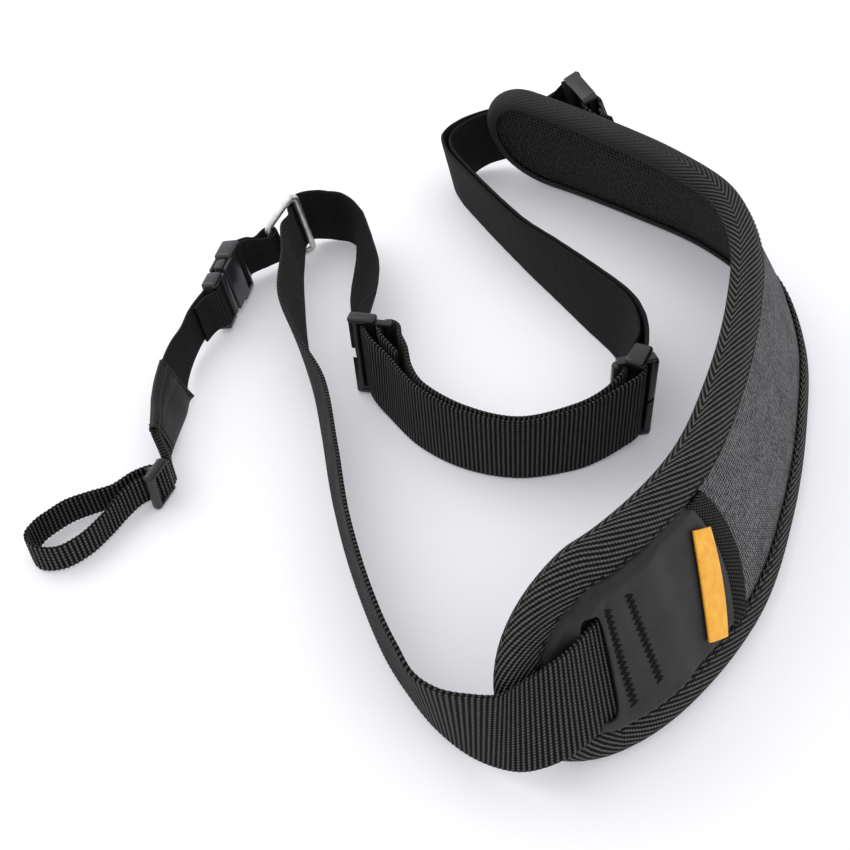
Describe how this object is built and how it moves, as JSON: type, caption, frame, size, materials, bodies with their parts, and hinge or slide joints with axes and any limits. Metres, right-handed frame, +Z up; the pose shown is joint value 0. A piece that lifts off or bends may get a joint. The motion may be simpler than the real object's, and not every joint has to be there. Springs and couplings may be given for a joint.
{
  "type": "camera shoulder strap",
  "caption": "Padded camera sling strap lying folded on a floor: curved shoulder pad, flat webbing on sliders, wire ring, small buckled connector and a thin camera loop.",
  "frame": {"origin": "on the floor under the middle of the laid-out strap", "axes": "+X to the viewer's right in the picture, +Y away from the viewer, +Z up"},
  "size_m": [0.2358, 0.2758, 0.0515],
  "materials": {
    "webbing": "ribbed black nylon webbing",
    "cloth": "grey plain-weave cloth",
    "mesh": "dark spacer mesh",
    "binding": "herringbone binding tape",
    "leather": "dark grained synthetic leather",
    "trim": "narrow dark woven tape",
    "tag": "plain amber woven tag",
    "plastic": "satin dark moulded plastic",
    "buckle_plastic": "glossy dark moulded plastic",
    "metal": "polished plated wire"
  },
  "bodies": {
    "root": {"pad_core": "cloth", "pad_mesh": "mesh", "pad_binding": "binding", "end_patch_near": "leather", "end_patch_far": "leather", "trim_tape_near": "trim", "trim_tape_far": "trim", "label_tag": "tag", "webbing_near_run": "webbing", "webbing_arch": "webbing", "webbing_front": "webbing", "webbing_far_inner": "webbing", "webbing_far_outer": "webbing", "webbing_back": "webbing", "pad_end_tab": "webbing", "adjuster_slider": "plastic", "keeper_slider": "plastic", "pad_end_slider": "plastic", "loop_slider": "plastic", "strap_ring": "metal", "connector_band": "webbing", "buckle_female": "buckle_plastic", "buckle_male": "buckle_plastic", "connector_tail": "webbing", "connector_wrap": "leather", "camera_loop": "webbing"}
  },
  "joints": []
}
